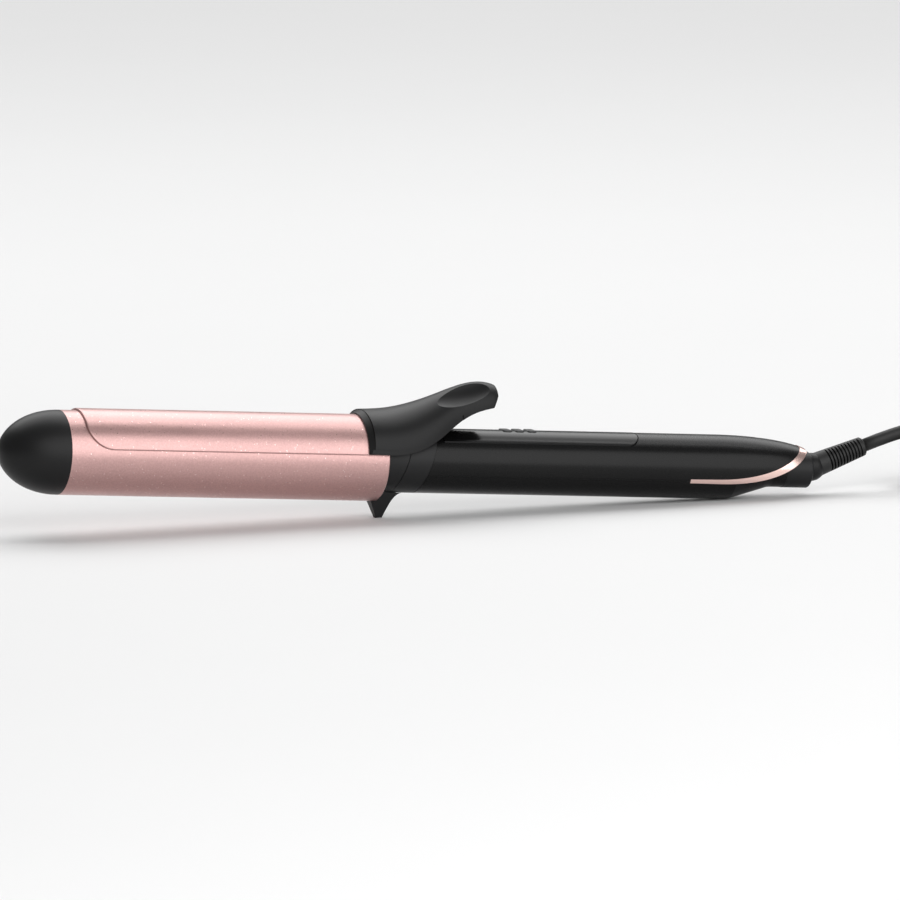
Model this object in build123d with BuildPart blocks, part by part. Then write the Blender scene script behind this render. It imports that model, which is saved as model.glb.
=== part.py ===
"""Curling iron with a spring clamp, a two-shell handle and a swivel cord, laid on its foot.

Each piece is drawn in the iron's own frame: X runs along the barrel from the tip towards the
cord with 0 at the barrel's rear end, Z is up through the clamp and Y is across. The finished
pieces are then set down in the resting attitude, on the foot and the heel of the handle.
"""

import os
from math import atan2, cos, degrees, pi, radians, sin, tan

from build123d import *

os.makedirs("parts", exist_ok=True)

# ---- Driving dimensions, in millimetres ----------------------------------------------------
FIT = 0.1  # gap between two fixed pieces
RUN = 0.05  # radial gap of a running fit

BARREL_R = 19.0
BARREL_WALL = 1.2
BARREL_LENGTH = 152.6
TIP_LENGTH = 28.0
SPIGOT = 6.0

PLATE_INNER_R = 19.15
PLATE_OUTER_R = 19.95
PLATE_FRONT = -144.7
PLATE_REAR = -1.0
PLATE_EDGE_Z = 3.7
PLATE_CORNER_R = 12.6

LEVER_FRONT = -10.7
LEVER_REAR = 55.0
LEVER_BORE_R = 20.0
HINGE_X = 5.0
HINGE_Z = 16.8
PIN_R = 1.5
PIN_LENGTH = 23.0
EAR_Y = 5.5
EAR_THICKNESS = 1.2

NECK_R = 15.1
NECK_BORE_R = 12.6
COLLAR_FRONT = 0.3
COLLAR_SEAM_X = 10.2
HANDLE_SEAM_X = 22.1
SEAM_SLOPE = tan(radians(16.5))
SEAM_GAP = 0.35
POCKET_FLOOR_Z = 12.8
POCKET_END = 14.8
FOOT_TOP_WIDTH = 7.0
FOOT_DROP = 26.5
FOOT_X = 3.1
SOLE_LENGTH = 2.0
SOLE_WIDTH = 3.0
FOOT_REACH_FRONT = 5.4
FOOT_REACH_REAR = 9.4
FOOT_ROOT_Z = -11.0

HANDLE_R = 14.6
HANDLE_Z = -0.4
SHELL_WALL = 2.0
CAVITY_REAR = 184.0
SPLIT_Z = -5.8
LEAF_START = 165.0
HEEL_X = 172.0
TAIL_R = 8.7
TAIL_START = 193.0
LOWER_END = 199.0
TRIM_FRONT = 149.0
TRIM_PROUD = 0.25
TRIM_DEPTH = 1.4

PANEL_FRONT = 29.0
PANEL_REAR = 125.0
PANEL_HALF_WIDTH = 10.6
PANEL_THICKNESS = 1.0
BUTTON_X = {"minus_button": 62.5, "plus_button": 68.5, "power_button": 74.5}
BUTTON_LENGTH = 4.4
BUTTON_WIDTH = 7.0
BUTTON_TOP_Z = 14.6
STEM_END_Z = 10.2

BOARD_FRONT = 42.0
BOARD_REAR = 152.0
BOARD_WIDTH = 17.0
BOARD_Z = 4.2
BOARD_THICKNESS = 1.6

SOCKET_R = 8.3
SOCKET_Z = -0.9
SOCKET_FRONT = 187.0
SOCKET_REAR = 212.0
JOURNAL_R = 6.0
SPINDLE_R = 2.6
RING_R = 4.0
ROOT_X = 214.0
ROOT_Z = 0.4
ROOT_R = 6.4
BOOT_ANGLE = 22.0
BOOT_LENGTH = 27.0
BOOT_ROOT_R = 5.7
BOOT_END_R = 4.4
SLITS = 11

CORD_R = 3.0
LAYERS = 3
LANES = 2
LOOP_R = 18.0
HANK_NEAR_X = 257.0
HANK_LEG = 85.0
WAIST_HALF = 3.15
TIE_WIDTH = 12.0
TIE_THICKNESS = 1.2
PLUG_AT = (407.0, -12.0, 7.0)

# ---- Resting attitude ----------------------------------------------------------------------
HEEL_DROP = HANDLE_R - HANDLE_Z
TILT = atan2(FOOT_DROP - HEEL_DROP, HEEL_X - FOOT_X)
IRON_X = -30.07
IRON_Z = FOOT_X * sin(TILT) + FOOT_DROP * cos(TILT)
REST = Location((IRON_X, 0, IRON_Z), (0, degrees(TILT), 0))

SIDE = Plane.XZ
HANDLE_AXIS = Axis((0, 0, HANDLE_Z), (1, 0, 0))
BIG = 30.0
iron = []


def across(x, z=0.0):
    """A plane square to the barrel at a station along it, with its x towards +Y."""
    return Plane(origin=(x, 0, z), x_dir=(0, 1, 0), z_dir=(1, 0, 0))


def finish(piece, name):
    """Name a finished piece of the iron and keep it for setting down."""
    piece.part.label = name
    iron.append(piece)


# ---- Heated end ----------------------------------------------------------------------------
TIP_BASE = -BARREL_LENGTH
TIP_APEX = TIP_BASE - TIP_LENGTH
TIP_WALL = 2.2
POST_R = 3.6
with BuildPart() as tip_cap:
    with BuildSketch(SIDE):
        with BuildLine():
            Bezier(
                (TIP_APEX, 0),
                (TIP_APEX, 0.46 * BARREL_R),
                (TIP_BASE - 0.62 * TIP_LENGTH, BARREL_R),
                (TIP_BASE, BARREL_R),
            )
            Polyline(
                (TIP_BASE, BARREL_R),
                (TIP_BASE, BARREL_R - BARREL_WALL - FIT),
                (TIP_BASE + SPIGOT, BARREL_R - BARREL_WALL - FIT),
                (TIP_BASE + SPIGOT, BARREL_R - BARREL_WALL - TIP_WALL),
                (TIP_BASE, BARREL_R - BARREL_WALL - TIP_WALL),
            )
            Bezier(
                (TIP_BASE, BARREL_R - BARREL_WALL - TIP_WALL),
                (TIP_BASE - 0.6 * TIP_LENGTH, BARREL_R - BARREL_WALL - TIP_WALL),
                (TIP_APEX + TIP_WALL, 0.4 * BARREL_R),
                (TIP_APEX + TIP_WALL, 0),
            )
            Line((TIP_APEX + TIP_WALL, 0), (TIP_APEX, 0))
        make_face()
    revolve(axis=Axis.X)
    with BuildSketch(across(TIP_BASE + SPIGOT)):
        Circle(POST_R)
    extrude(amount=-(SPIGOT + TIP_LENGTH - 0.5 * TIP_WALL))
    with BuildSketch(across(TIP_BASE + SPIGOT)):
        Circle(1.3)
    extrude(amount=-16, mode=Mode.SUBTRACT)
finish(tip_cap, "tip_cap")

DISC_FRONT = TIP_BASE + SPIGOT + FIT
DISC_THICKNESS = 4.0
with BuildPart() as front_disc:
    with BuildSketch(across(DISC_FRONT)):
        Circle(BARREL_R - BARREL_WALL - FIT)
        Circle(1.7, mode=Mode.SUBTRACT)
        with PolarLocations(11, 6):
            Circle(2.2, mode=Mode.SUBTRACT)
    extrude(amount=DISC_THICKNESS)
finish(front_disc, "front_disc")

with BuildPart() as tip_screw:
    with BuildSketch(across(DISC_FRONT + DISC_THICKNESS)):
        Circle(3.0)
        RegularPolygon(1.0, 6, mode=Mode.SUBTRACT)
    extrude(amount=2)
    with BuildSketch(across(DISC_FRONT + DISC_THICKNESS)):
        Circle(1.3)
    extrude(amount=-DISC_THICKNESS - 14)
finish(tip_screw, "tip_screw")

with BuildPart() as barrel_tube:
    with BuildSketch(across(-BARREL_LENGTH)):
        Circle(BARREL_R)
        Circle(BARREL_R - BARREL_WALL, mode=Mode.SUBTRACT)
    extrude(amount=BARREL_LENGTH)
    chamfer(barrel_tube.faces().sort_by(Axis.X)[-1].outer_wire().edges(), 0.5)
finish(barrel_tube, "barrel_tube")

SHOE_FRONT = -128.0
SHOE_LENGTH = 100.0
SHOE_R = BARREL_R - BARREL_WALL - FIT
SHOE_GAP = 3.4
SHOE_WALL = 1.8
for side, shoe_name in ((1, "heater_shoe_upper"), (-1, "heater_shoe_lower")):
    with BuildPart() as heater_shoe:
        with BuildSketch(across(SHOE_FRONT)):
            Circle(SHOE_R)
            with Locations((0, side * (SHOE_GAP - BIG / 2))):
                Rectangle(2 * BIG, BIG, mode=Mode.SUBTRACT)
        extrude(amount=SHOE_LENGTH)
        with BuildSketch(across(SHOE_FRONT)):
            Circle(SHOE_R - SHOE_WALL)
            with Locations((0, side * (SHOE_GAP + SHOE_WALL - BIG / 2))):
                Rectangle(2 * BIG, BIG, mode=Mode.SUBTRACT)
        extrude(amount=SHOE_LENGTH, mode=Mode.SUBTRACT)
    finish(heater_shoe, shoe_name)

ELEMENT_LENGTH = 74.0
ELEMENT_X = SHOE_FRONT + SHOE_LENGTH / 2
with BuildPart() as heater_element:
    with Locations((ELEMENT_X, 0, -SHOE_GAP + FIT + 2.0)):
        Box(ELEMENT_LENGTH, 15, 4)
    fillet(heater_element.edges().filter_by(Axis.X), 0.8)
finish(heater_element, "heater_element")

SPRING_HALF = 32.0
SPRING_LOW = -SHOE_GAP + 2 * FIT + 4.0
with BuildPart() as shoe_spring:
    with BuildSketch(SIDE):
        with BuildLine() as bow:
            ThreePointArc(
                (ELEMENT_X - SPRING_HALF, SPRING_LOW),
                (ELEMENT_X, SHOE_GAP - FIT - 0.5),
                (ELEMENT_X + SPRING_HALF, SPRING_LOW),
            )
            offset(bow.line, amount=0.4, side=Side.LEFT, closed=True)
        make_face()
    extrude(amount=4, both=True)
finish(shoe_spring, "shoe_spring")

LEAD_Y = 4.0
LEAD_R = 0.9
FUSE_FRONT = -19.0
FUSE_LENGTH = 11.0
with BuildPart() as thermal_fuse:
    with BuildSketch(across(FUSE_FRONT)):
        with Locations((-LEAD_Y, 0)):
            Circle(2.0)
    extrude(amount=FUSE_LENGTH)
    fillet(thermal_fuse.edges(), 0.4)
finish(thermal_fuse, "thermal_fuse")

with BuildPart() as temperature_sensor:
    with BuildSketch(across(-66)):
        with Locations((0, -(SHOE_R - SHOE_WALL - 1.4))):
            Circle(1.3)
    extrude(amount=8)
    fillet(temperature_sensor.edges(), 0.5)
finish(temperature_sensor, "temperature_sensor")

ELEMENT_END = ELEMENT_X + ELEMENT_LENGTH / 2 + FIT
lead_runs = (
    ((ELEMENT_END, -LEAD_Y, 0), (FUSE_FRONT - FIT, -LEAD_Y, 0)),
    ((FUSE_FRONT + FUSE_LENGTH + FIT, -LEAD_Y, 0), (BOARD_FRONT + 8, -LEAD_Y, 0)),
    ((ELEMENT_END, LEAD_Y, 0), (BOARD_FRONT + 8, LEAD_Y, 0)),
)
with BuildPart() as heater_leads:
    for start, end in lead_runs:
        with BuildLine():
            if end[0] > BOARD_FRONT:
                FilletPolyline(start, end, (end[0], end[1], BOARD_Z - FIT), radius=2)
            else:
                Line(start, end)
        with BuildSketch(Plane(origin=start, x_dir=(0, 1, 0), z_dir=(1, 0, 0))):
            Circle(LEAD_R)
        sweep()
finish(heater_leads, "heater_leads")

SEAT_FRONT = -7.5
SEAT_REAR = 33.0
with BuildPart() as rear_seat:
    with BuildSketch(across(SEAT_FRONT)):
        Circle(BARREL_R - BARREL_WALL - FIT)
    extrude(amount=-SEAT_FRONT)
    with BuildSketch(across(0)):
        Circle(NECK_BORE_R - 0.5)
    extrude(amount=SEAT_REAR)
    with BuildSketch(across(SEAT_FRONT)):
        Circle(8)
    extrude(amount=SEAT_REAR - SEAT_FRONT, mode=Mode.SUBTRACT)
finish(rear_seat, "rear_seat")

# ---- Neck: collar with the foot, and the ring behind it -------------------------------------
SOLE = Plane(origin=(FOOT_X, 0, -FOOT_DROP), x_dir=(1, 0, 0), z_dir=(sin(TILT), 0, -cos(TILT)))


def behind_seam(seam_x):
    """Everything behind a slanted seam, as a solid block."""
    with BuildPart() as block:
        with BuildSketch(SIDE):
            Polygon(
                (seam_x + BIG * SEAM_SLOPE, BIG),
                (seam_x - BIG * SEAM_SLOPE, -BIG),
                (2 * BIG, -BIG),
                (2 * BIG, BIG),
                align=None,
            )
        extrude(amount=BIG, both=True)
    return block.part


with BuildPart() as ring_room:
    with BuildSketch(across(0)):
        Circle(NECK_R + FIT)
    extrude(amount=BIG)
    add(behind_seam(COLLAR_SEAM_X), mode=Mode.INTERSECT)

with BuildPart() as stand_foot:
    with BuildSketch(SIDE):
        with BuildLine():
            foot_front = Line(
                (FOOT_X - FOOT_REACH_FRONT, -18.0), (FOOT_X - SOLE_LENGTH / 2, -FOOT_DROP - 1)
            )
            sole_line = Line(foot_front @ 1, (FOOT_X + SOLE_LENGTH / 2, -FOOT_DROP - 1))
            foot_back = Bezier(
                sole_line @ 1,
                (FOOT_X + 0.5 * FOOT_REACH_REAR, -17.4),
                (FOOT_X + 0.7 * FOOT_REACH_REAR, -15.4),
                (FOOT_X + FOOT_REACH_REAR, -14.8),
            )
            Polyline(
                foot_back @ 1,
                (FOOT_X + FOOT_REACH_REAR, FOOT_ROOT_Z),
                (FOOT_X - FOOT_REACH_FRONT, FOOT_ROOT_Z),
                foot_front @ 0,
            )
        make_face()
    extrude(amount=FOOT_TOP_WIDTH / 2, both=True)
    with BuildSketch(across(-BIG)):
        for side in (-1, 1):
            Polygon(
                (side * FOOT_TOP_WIDTH / 2, -NECK_R),
                (side * SOLE_WIDTH / 2, -FOOT_DROP),
                (side * SOLE_WIDTH / 2, -BIG),
                (side * FOOT_TOP_WIDTH, -BIG),
                (side * FOOT_TOP_WIDTH, -NECK_R),
                align=None,
            )
    extrude(amount=2 * BIG, mode=Mode.SUBTRACT)
    add(ring_room.part, mode=Mode.SUBTRACT)

with BuildPart() as stand_collar:
    with BuildSketch(across(COLLAR_FRONT)):
        Circle(NECK_R)
    extrude(amount=2 * COLLAR_SEAM_X)
    add(behind_seam(COLLAR_SEAM_X), mode=Mode.SUBTRACT)
    add(stand_foot.part)
    with BuildSketch(across(-BIG)):
        Circle(BARREL_R + FIT)
    extrude(amount=BIG + COLLAR_FRONT, mode=Mode.SUBTRACT)
    with BuildSketch(SOLE):
        Rectangle(BIG, BIG)
    extrude(amount=10, mode=Mode.SUBTRACT)
    with BuildSketch(across(COLLAR_FRONT)):
        Circle(NECK_BORE_R)
        with Locations((0, POCKET_FLOOR_Z + 5)):
            Rectangle(2 * (EAR_Y + EAR_THICKNESS), 10)
    extrude(amount=POCKET_END, mode=Mode.SUBTRACT)
finish(stand_collar, "stand_collar")

with BuildPart() as neck_ring:
    with BuildSketch(across(0)):
        Circle(NECK_R - FIT)
    extrude(amount=BIG)
    add(behind_seam(COLLAR_SEAM_X + SEAM_GAP), mode=Mode.INTERSECT)
    add(behind_seam(HANDLE_SEAM_X), mode=Mode.SUBTRACT)
    with BuildSketch(across(0)):
        Circle(NECK_BORE_R)
    extrude(amount=BIG, mode=Mode.SUBTRACT)
    with BuildSketch(across(0)):
        with Locations((0, POCKET_FLOOR_Z + 5)):
            Rectangle(2 * (EAR_Y + EAR_THICKNESS), 10)
    extrude(amount=POCKET_END, mode=Mode.SUBTRACT)
finish(neck_ring, "neck_ring")

# ---- Hinge ---------------------------------------------------------------------------------
EAR_TOP_R = 2.4
with BuildPart() as hinge_bracket:
    with BuildSketch(SIDE):
        with Locations((HINGE_X, HINGE_Z)):
            Circle(EAR_TOP_R)
        with Locations((HINGE_X, (HINGE_Z + POCKET_FLOOR_Z) / 2)):
            Rectangle(2 * EAR_TOP_R, HINGE_Z - POCKET_FLOOR_Z - FIT)
    extrude(amount=EAR_Y + EAR_THICKNESS / 2, both=True)
    with BuildSketch(SIDE):
        with Locations((HINGE_X, POCKET_FLOOR_Z + 5 + EAR_THICKNESS)):
            Rectangle(BIG, 10)
    extrude(amount=EAR_Y - EAR_THICKNESS / 2, both=True, mode=Mode.SUBTRACT)
    with BuildSketch(Plane.XY.offset(POCKET_FLOOR_Z + FIT)):
        with Locations(((1.4 + POCKET_END) / 2, 0)):
            Rectangle(POCKET_END - 1.4 - FIT, 2 * EAR_Y + EAR_THICKNESS)
    extrude(amount=EAR_THICKNESS)
    with BuildSketch(SIDE):
        with Locations((HINGE_X, HINGE_Z)):
            Circle(PIN_R + FIT / 2)
    extrude(amount=BIG, both=True, mode=Mode.SUBTRACT)
finish(hinge_bracket, "hinge_bracket")

with BuildPart() as hinge_pin:
    with BuildSketch(SIDE):
        with Locations((HINGE_X, HINGE_Z)):
            Circle(PIN_R)
    extrude(amount=PIN_LENGTH / 2, both=True)
    fillet(hinge_pin.edges(), 0.3)
finish(hinge_pin, "hinge_pin")

COIL_R = 2.0
WIRE_R = 0.4
COIL_HALF = 3.1
LEG_Z = HINGE_Z - COIL_R
with BuildPart() as clamp_spring:
    with BuildSketch(SIDE):
        with Locations((HINGE_X, HINGE_Z)):
            Circle(COIL_R + WIRE_R)
            Circle(COIL_R - WIRE_R, mode=Mode.SUBTRACT)
    extrude(amount=COIL_HALF, both=True)
    with BuildSketch(Plane(origin=(HINGE_X, COIL_HALF - WIRE_R, LEG_Z), z_dir=(1, 0, 0))):
        Circle(WIRE_R)
    extrude(amount=8.0)
    long_leg = Plane(origin=(HINGE_X, WIRE_R - COIL_HALF, HINGE_Z + COIL_R), z_dir=(3, 0, 1))
    with BuildSketch(long_leg):
        Circle(WIRE_R)
    extrude(amount=13.0)
finish(clamp_spring, "clamp_spring")

# ---- Clamp plate and thumb lever -----------------------------------------------------------
RIVET_X = -5.2
RIVET_TURNS = (-38, 38)
RIVET_SHANK_R = 1.2
RIVET_HEAD_R = 2.0


def rivet_plane(turn):
    """A plane on the barrel's axis whose z points out along a rivet, turned from straight up."""
    out = (0, sin(radians(turn)), cos(radians(turn)))
    return Plane(origin=(RIVET_X, 0, 0), x_dir=(1, 0, 0), z_dir=out)


CORNER_TOP_Z = PLATE_EDGE_Z + 11
CORNER_END = PLATE_FRONT + 12
with BuildPart() as clamp_plate:
    with BuildSketch(across(PLATE_FRONT)):
        Circle(PLATE_OUTER_R)
        Circle(PLATE_INNER_R, mode=Mode.SUBTRACT)
        with Locations((0, PLATE_EDGE_Z - BIG / 2)):
            Rectangle(2 * BIG, BIG, mode=Mode.SUBTRACT)
    extrude(amount=PLATE_REAR - PLATE_FRONT)
    with BuildSketch(SIDE):
        with BuildLine():
            corner = Line((PLATE_FRONT - 1, PLATE_EDGE_Z - 1), (PLATE_FRONT - 1, CORNER_TOP_Z))
            Line(corner @ 1, (PLATE_FRONT, CORNER_TOP_Z))
            RadiusArc((PLATE_FRONT, CORNER_TOP_Z), (CORNER_END, PLATE_EDGE_Z), -PLATE_CORNER_R)
            Polyline((CORNER_END, PLATE_EDGE_Z), (CORNER_END, PLATE_EDGE_Z - 1), corner @ 0)
        make_face()
    extrude(amount=BIG, both=True, mode=Mode.SUBTRACT)
    for turn in RIVET_TURNS:
        axis_plane = rivet_plane(turn)
        with BuildSketch(axis_plane.offset(PLATE_INNER_R - 1)):
            Circle(RIVET_HEAD_R + RUN)
        extrude(amount=1.45, mode=Mode.SUBTRACT)
        with BuildSketch(axis_plane.offset(PLATE_INNER_R - 1)):
            Circle(RIVET_SHANK_R + RUN)
        extrude(amount=3, mode=Mode.SUBTRACT)
finish(clamp_plate, "clamp_plate")

# Stations of the lever: place along the barrel, half width, underside and top.
LEVER_STATIONS = (
    (LEVER_FRONT, 21.0, 4.0, 22.1),
    (-4.0, 21.3, 4.0, 22.5),
    (8.0, 20.6, 4.6, 23.8),
    (20.0, 18.0, 8.6, 27.0),
    (29.0, 14.8, 14.2, 30.4),
    (37.0, 12.0, 19.6, 33.6),
    (46.0, 10.4, 23.6, 35.8),
    (LEVER_REAR, 8.6, 25.6, 34.8),
)
HOLLOW_STATIONS = (
    (-3.0, 19.9, -4.0, 20.0),
    (8.0, 18.9, -4.0, 21.6),
    (20.0, 16.2, 2.0, 24.8),
    (29.0, 12.9, 8.0, 28.0),
    (37.0, 10.0, 14.0, 30.6),
    (43.0, 7.6, 18.0, 30.8),
)


def arch(station, half_width, low, top):
    """A section across the lever: a half ellipse that stands on its flat side."""
    with BuildSketch(across(station)) as section:
        with BuildLine():
            crown = low + (top - low) / 0.75
            bow = Bezier((-half_width, low), (-half_width, crown), (half_width, crown), (half_width, low))
            Line(bow @ 1, bow @ 0)
        make_face()
    return section.sketch.face()


# A band along the front and the lower edge of the lever stands back a little from its sides.
BAND_DEPTH = 0.35
BAND_WIDTH = 2.4
LIP_R = 20.5
LIP_RISE = 1.5
with BuildPart() as edge_band:
    loft([arch(x, wide + 1, low, top + 1) for x, wide, low, top in LEVER_STATIONS])
    loft(
        [arch(x, wide - BAND_DEPTH, low - 1, top) for x, wide, low, top in LEVER_STATIONS],
        mode=Mode.SUBTRACT,
    )
    with BuildSketch(SIDE):
        with BuildLine():
            edge = Spline([(x, low + BAND_WIDTH) for x, _, low, _ in LEVER_STATIONS[:-2]])
            Polyline(
                edge @ 1,
                (LEVER_STATIONS[-3][0], -BIG),
                (LEVER_FRONT, -BIG),
                edge @ 0,
            )
        make_face()
    extrude(amount=BIG, both=True, mode=Mode.INTERSECT)

# The thumb rest is a crest with a shallow scoop on either side, each part of a spindle.
SCOOP_AT = (40.0, 14.2, 40.0)
SCOOP_R = 13.2
SCOOP_HALF_LENGTH = 34.0
SCOOP_RISE = 19.0

with BuildPart() as thumb_lever:
    loft([arch(*station) for station in LEVER_STATIONS])
    add(edge_band.part, mode=Mode.SUBTRACT)
    with BuildSketch(SIDE):
        Polygon(
            (LEVER_FRONT, LIP_R),
            (LEVER_FRONT + BAND_WIDTH, LIP_R + LIP_RISE),
            (LEVER_FRONT + BAND_WIDTH, BIG),
            (LEVER_FRONT, BIG),
            align=None,
        )
    revolve(axis=Axis.X, mode=Mode.SUBTRACT)
    with BuildSketch(SIDE):
        Polygon((LEVER_REAR, 30.4), (LEVER_REAR, 22), (LEVER_REAR - 3.8, 22), align=None)
    extrude(amount=BIG, both=True, mode=Mode.SUBTRACT)
    for side in (-1, 1):
        spindle = Plane(
            origin=(SCOOP_AT[0], side * SCOOP_AT[1], SCOOP_AT[2]),
            x_dir=(cos(radians(SCOOP_RISE)), 0, sin(radians(SCOOP_RISE))),
            z_dir=(0, -1, 0),
        )
        with BuildSketch(spindle):
            with BuildLine():
                ThreePointArc((-SCOOP_HALF_LENGTH, 0), (0, SCOOP_R), (SCOOP_HALF_LENGTH, 0))
                Line((SCOOP_HALF_LENGTH, 0), (-SCOOP_HALF_LENGTH, 0))
            make_face()
        revolve(axis=Axis(spindle.origin, spindle.x_dir), mode=Mode.SUBTRACT)
    loft([arch(*station) for station in HOLLOW_STATIONS], mode=Mode.SUBTRACT)
    with BuildSketch(across(LEVER_FRONT - 1)):
        Circle(LEVER_BORE_R)
    extrude(amount=1 - LEVER_FRONT + COLLAR_FRONT + 0.5, mode=Mode.SUBTRACT)
    for y in (-10.0, 10.0):
        with BuildSketch(Plane.XZ.offset(-y)):
            with Locations((HINGE_X, HINGE_Z)):
                Circle(2.8)
            with Locations((HINGE_X, HINGE_Z + 1.5)):
                Rectangle(5.6, 3.0)
        extrude(amount=1.6, both=True)
    with BuildSketch(SIDE):
        with Locations((HINGE_X, HINGE_Z)):
            Circle(PIN_R + RUN)
    extrude(amount=PIN_LENGTH / 2 + FIT, both=True, mode=Mode.SUBTRACT)
    for turn in RIVET_TURNS:
        axis_plane = rivet_plane(turn)
        with BuildSketch(axis_plane.offset(PLATE_OUTER_R)):
            Circle(RIVET_SHANK_R + RUN)
        extrude(amount=1.5, mode=Mode.SUBTRACT)
finish(thumb_lever, "thumb_lever")

with BuildPart() as clamp_rivets:
    for turn in RIVET_TURNS:
        axis_plane = rivet_plane(turn)
        with BuildSketch(axis_plane.offset(PLATE_INNER_R)):
            Circle(RIVET_HEAD_R)
        extrude(amount=0.4)
        with BuildSketch(axis_plane.offset(PLATE_INNER_R)):
            Circle(RIVET_SHANK_R)
        extrude(amount=2.2)
finish(clamp_rivets, "clamp_rivets")

# ---- Handle shells -------------------------------------------------------------------------
def turned(*outline):
    """The face between the handle's axis and an outline of lines (2 points) or curves (4 points)."""
    with BuildSketch(SIDE) as profile:
        with BuildLine():
            for stretch in outline:
                points = [(x, HANDLE_Z + radius) for x, radius in stretch]
                Line(*points) if len(points) == 2 else Bezier(*points)
            start, end = outline[0][0], outline[-1][-1]
            Polyline((end[0], HANDLE_Z + end[1]), (end[0], HANDLE_Z), (start[0], HANDLE_Z),
                     (start[0], HANDLE_Z + start[1]))
        make_face()
    return profile.sketch.face()


def leaf(grow):
    """The profile of the upper shell: a cylinder that closes gently to a round rear end."""
    radius = HANDLE_R + grow
    return turned(
        ((10, radius), (LEAF_START, radius)),
        ((LEAF_START, radius), (LEAF_START + 20, radius), (203, 12.4 + grow), (210.8, 8.6 + grow)),
    )


TAIL_PROFILE = turned(
    ((10, HANDLE_R), (HEEL_X, HANDLE_R)),
    ((HEEL_X, HANDLE_R), (TAIL_START - 6, TAIL_R + 1.5)),
    ((TAIL_START - 6, TAIL_R + 1.5), (TAIL_START - 3, TAIL_R + 0.7), (TAIL_START - 2, TAIL_R),
     (TAIL_START, TAIL_R)),
    ((TAIL_START, TAIL_R), (LOWER_END, TAIL_R)),
)
CAVITY_R = HANDLE_R - SHELL_WALL
CAVITY_PROFILE = turned(
    ((5, CAVITY_R), (HEEL_X - 6, CAVITY_R)),
    ((HEEL_X - 6, CAVITY_R), (CAVITY_REAR, 7.6)),
)


def side_region(*outline):
    """A face in the side view, bounded by lines (2 points or more) and curves (4 points)."""
    with BuildSketch(SIDE) as region:
        with BuildLine():
            for kind, points in outline:
                Polyline(*points) if kind == "line" else Bezier(*points)
        make_face()
    return region.sketch.face()


TRIM_UPPER = ((LEAF_START, -4.75), (182.0, -4.3), (197.5, 0.5), (206.0, 9.2))
TRIM_LOWER = ((LEAF_START, -6.85), (186.0, -6.9), (200.0, -1.5), (209.0, 7.6))
TRIM_TIP_HALF = 0.95
TRIM_TIP_UPPER = (TRIM_FRONT, SPLIT_Z + TRIM_TIP_HALF)
TRIM_TIP_LOWER = (TRIM_FRONT, SPLIT_Z - TRIM_TIP_HALF)
SEAM_BOTTOM = (HANDLE_SEAM_X + SEAM_GAP - BIG * SEAM_SLOPE, -BIG)
SEAM_TOP = (HANDLE_SEAM_X + SEAM_GAP + BIG * SEAM_SLOPE, BIG)
SEAM_SPLIT_X = HANDLE_SEAM_X + SEAM_GAP + SPLIT_Z * SEAM_SLOPE
UPPER_REGION = side_region(
    ("line", ((SEAM_SPLIT_X, SPLIT_Z + FIT / 2), (TRIM_FRONT, SPLIT_Z + FIT / 2), TRIM_TIP_UPPER,
              TRIM_UPPER[0])),
    ("curve", TRIM_UPPER),
    ("line", (TRIM_UPPER[-1], (208.4, BIG), SEAM_TOP, (SEAM_SPLIT_X, SPLIT_Z + FIT / 2))),
)
LOWER_REGION = side_region(
    ("line", ((SEAM_SPLIT_X, SPLIT_Z - FIT / 2), (TRIM_FRONT, SPLIT_Z - FIT / 2), TRIM_TIP_LOWER,
              TRIM_LOWER[0])),
    ("curve", TRIM_LOWER),
    ("line", (TRIM_LOWER[-1], (TRIM_LOWER[-1][0], -BIG), SEAM_BOTTOM,
              (SEAM_SPLIT_X, SPLIT_Z - FIT / 2))),
)
TRIM_REGION = side_region(
    ("line", ((TRIM_FRONT, SPLIT_Z + TRIM_TIP_HALF - RUN), TRIM_UPPER[0])),
    ("curve", TRIM_UPPER),
    ("line", (TRIM_UPPER[-1], (208.4, BIG), (211.0, BIG), TRIM_LOWER[-1])),
    ("curve", TRIM_LOWER[::-1]),
    ("line", (TRIM_LOWER[0], (TRIM_FRONT, SPLIT_Z - TRIM_TIP_HALF + RUN),
              (TRIM_FRONT, SPLIT_Z + TRIM_TIP_HALF - RUN))),
)


def strip(grow, inner_r, outer_r):
    """A strip bent round the top of the handle, with round corners at its rear."""
    length = PANEL_REAR - PANEL_FRONT + 2 * grow
    with BuildPart() as blank:
        with BuildSketch(Plane.XY) as plan:
            with Locations((PANEL_FRONT - grow + length / 2, 0)):
                Rectangle(length, 2 * (PANEL_HALF_WIDTH + grow))
            fillet(plan.vertices().group_by(Axis.X)[-1], 6 + grow)
        extrude(amount=BIG)
        with BuildSketch(across(0, HANDLE_Z)):
            Circle(outer_r)
            Circle(inner_r, mode=Mode.SUBTRACT)
        extrude(amount=HEEL_X, mode=Mode.INTERSECT)
    return blank.part


BOSS_X = (38.0, 160.0)
BOSS_R = 2.7
SCREW_R = 1.2
HEAD_R = 2.3
HEAD_Z = -11.0
PIPE_X = (84.0, 90.0, 96.0, 102.0, 108.0)
PIPE_R = 0.9
GROOVE = 0.5

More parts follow.
